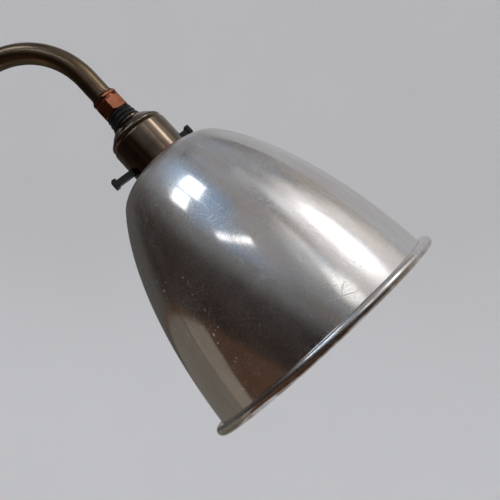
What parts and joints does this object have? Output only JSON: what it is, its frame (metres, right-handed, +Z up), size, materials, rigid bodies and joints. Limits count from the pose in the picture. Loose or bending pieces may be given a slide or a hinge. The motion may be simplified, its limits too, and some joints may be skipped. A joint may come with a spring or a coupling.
{
  "type": "rise and fall pendant lamp",
  "caption": "Rise and fall pendant lamp: telescopic stem with a cork gland, swinging swan neck arm, push bar bayonet lampholder and a bell shade of spun aluminium.",
  "frame": {"origin": "middle of the ceiling face of the ceiling plate, on the stem's axis", "axes": "+Z up, out of the ceiling face; +X from the stem towards the shade at rest"},
  "size_m": [0.4044, 0.165, 0.6487],
  "materials": {
    "aged_brass": "brown patina over satin brass",
    "plain_brass": "plain turned brass",
    "dark_bronze": "dark bronze finish, satin",
    "copper": "copper, lightly tarnished",
    "worn_aluminium": "spun and polished, scratched and hazed",
    "black_plastic": "moulded black, satin",
    "steel": "plain steel",
    "porcelain": "glazed porcelain",
    "cork": "pressed cork",
    "fibre": "red fibre",
    "pearl_glass": "pearl glass"
  },
  "bodies": {
    "ceiling_mount": {"ceiling_plate": "aged_brass", "canopy": "aged_brass", "canopy_ring": "aged_brass", "canopy_grub_screw": "steel", "terminal_block": "porcelain", "terminal_screws": "plain_brass", "earth_screw": "plain_brass", "outer_tube": "aged_brass", "gland_body": "aged_brass", "cork_packing": "cork", "gland_washer": "plain_brass"},
    "gland_nut": {"gland_nut": "aged_brass"},
    "slide_tube": {"inner_tube": "aged_brass", "stop_ring": "plain_brass", "stop_screw": "steel", "swivel_collar": "aged_brass", "collar_grub_screw": "steel", "swivel_washer": "fibre", "retaining_nut": "plain_brass"},
    "arm": {"hub": "aged_brass", "swing_stop_pin": "steel", "finial": "aged_brass", "arm_locknut": "aged_brass", "arm_grub_screw": "steel", "arm_tube": "aged_brass", "tube_ferrule": "aged_brass", "coupling_washer": "black_plastic", "coupling_nut": "copper", "nipple": "plain_brass", "nipple_locknut": "plain_brass", "neck_bush": "black_plastic", "holder_cap": "dark_bronze", "holder_body": "dark_bronze", "flange_ring": "copper", "porcelain_insert": "porcelain", "terminal_posts": "plain_brass", "post_screws": "steel", "plunger_springs": "steel", "bayonet_skirt": "plain_brass", "shade": "worn_aluminium", "shade_ring": "black_plastic"},
    "plungers": {"plungers": "plain_brass"},
    "push_bar": {"push_bar": "black_plastic", "push_bar_heads": "black_plastic", "switch_bridge": "copper"},
    "bulb": {"bulb_glass": "pearl_glass", "bulb_cap": "plain_brass", "bulb_insulator": "black_plastic", "bulb_pins": "plain_brass", "bulb_contacts": "steel"}
  },
  "joints": [
    {"name": "rise_fall", "type": "slide", "parent": "ceiling_mount", "child": "slide_tube", "axis": [0, 0, 1], "range_m": [-0.1195, 0.11]},
    {"name": "arm_swing", "type": "hinge", "parent": "slide_tube", "child": "arm", "pos_m": [0, 0, -0.4733], "axis": [0, 0, 1], "range_deg": [-168, 168]},
    {"name": "gland_turn", "type": "hinge", "parent": "ceiling_mount", "child": "gland_nut", "pos_m": [0, 0, -0.3233], "axis": [0, 0, 1], "range_deg": [0, 180]},
    {"name": "switch_press", "type": "slide", "parent": "arm", "child": "push_bar", "axis": [0.6272, 0.5, 0.5972], "range_m": [0, 0.0054]},
    {"name": "plunger_press", "type": "slide", "parent": "arm", "child": "plungers", "axis": [0.6896, 0, -0.7242], "range_m": [-0.0025, 0], "stiffness_N_per_m": 200, "springref_m": 0.004, "deforming": ["plunger_springs"]},
    {"name": "bulb_twist", "type": "hinge", "parent": "arm", "child": "bulb", "pos_m": [0.29394, 0, -0.59301], "axis": [0.6896, 0, -0.7242], "range_deg": [0, 18]}
  ]
}
